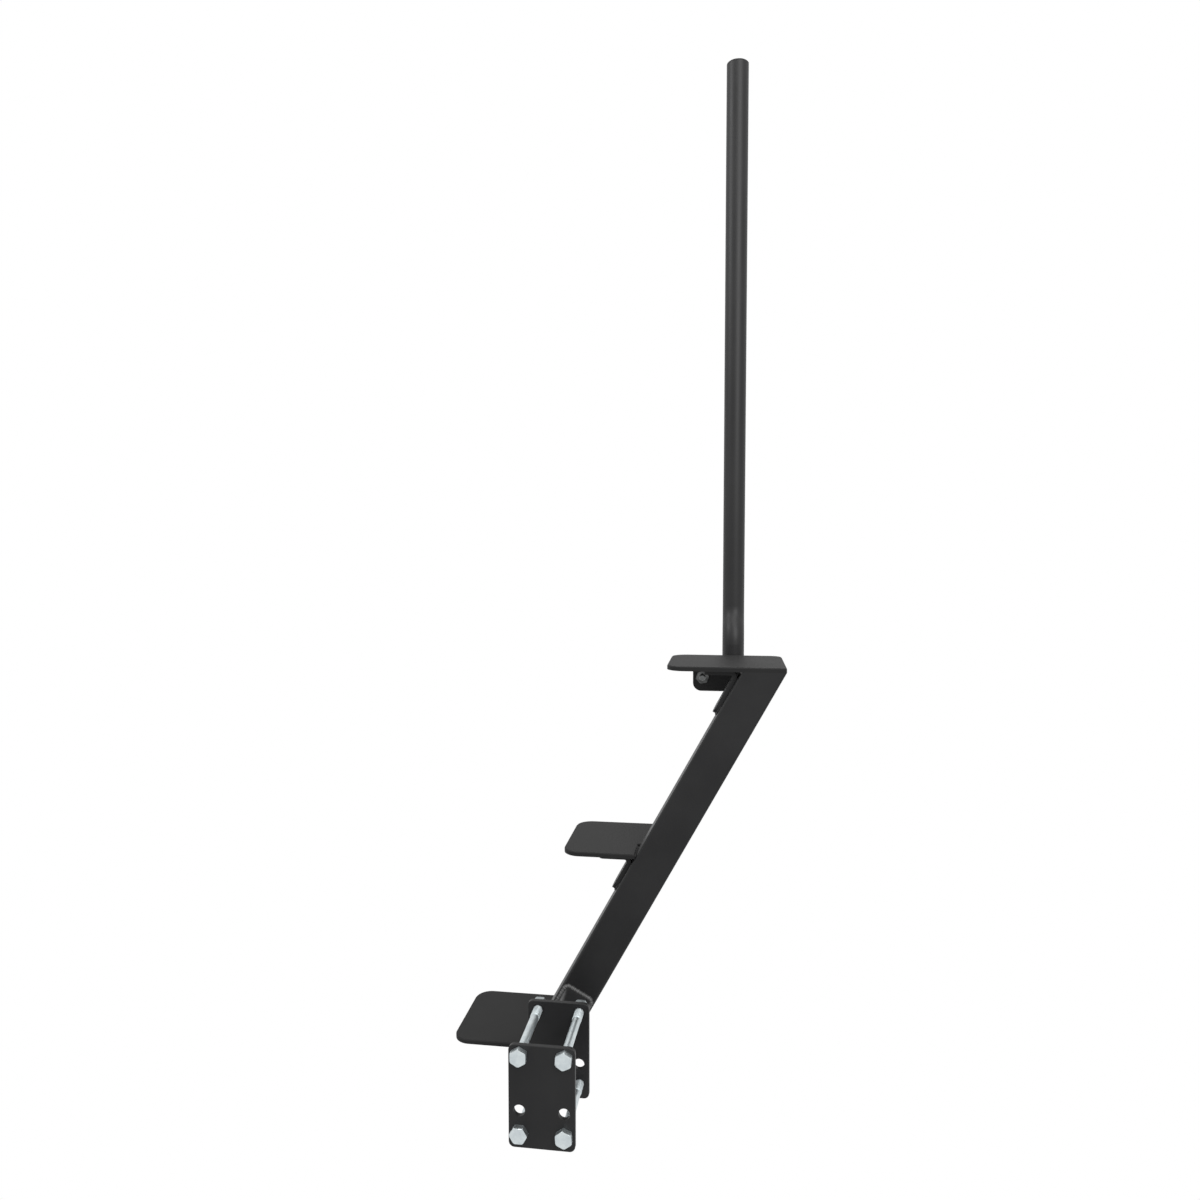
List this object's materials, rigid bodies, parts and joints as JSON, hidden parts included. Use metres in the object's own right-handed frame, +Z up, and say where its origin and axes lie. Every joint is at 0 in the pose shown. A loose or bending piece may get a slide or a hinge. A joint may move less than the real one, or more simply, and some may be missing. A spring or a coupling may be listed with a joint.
{
  "type": "trailer ladder",
  "caption": "Black steel trailer ladder: plate steps on one leaning tube, a tall handrail with a set-back bend, and a bolted two-plate clamp for the trailer tongue.",
  "frame": {"origin": "centre of the mounting plate's gripping face", "axes": "+X along the trailer tongue towards the side the ladder leans to, +Y from the loose clamp plate towards the mounting plate and the steps, +Z up"},
  "size_m": [0.4534, 0.3836, 1.412],
  "materials": {
    "black_paint": "fine satin black powder coat",
    "zinc": "bright zinc plating",
    "cap_plastic": "matt black"
  },
  "bodies": {
    "ladder": {"mounting_plate": "black_paint", "standoff_tube": "black_paint", "riser_tube": "black_paint", "bottom_step": "black_paint", "middle_step": "black_paint", "top_step": "black_paint", "middle_step_cleat": "black_paint", "top_step_cleat": "black_paint", "rail_ear_plate": "black_paint", "rail_foot_plate": "black_paint", "handrail_tube": "black_paint", "handrail_cap": "cap_plastic", "rail_bolt_left": "zinc", "rail_bolt_right": "zinc", "rail_nut_left": "zinc", "rail_nut_right": "zinc", "clamp_nut_upper_left": "zinc", "clamp_nut_upper_right": "zinc", "clamp_nut_lower_left": "zinc", "clamp_nut_lower_right": "zinc"},
    "clamp": {"clamp_plate": "black_paint", "clamp_bolt_upper_left": "zinc", "clamp_bolt_upper_right": "zinc", "clamp_bolt_lower_left": "zinc", "clamp_bolt_lower_right": "zinc"}
  },
  "joints": [
    {"name": "clamp_close", "type": "slide", "parent": "ladder", "child": "clamp", "axis": [0, 1, 0], "range_m": [0, 0.023]}
  ]
}
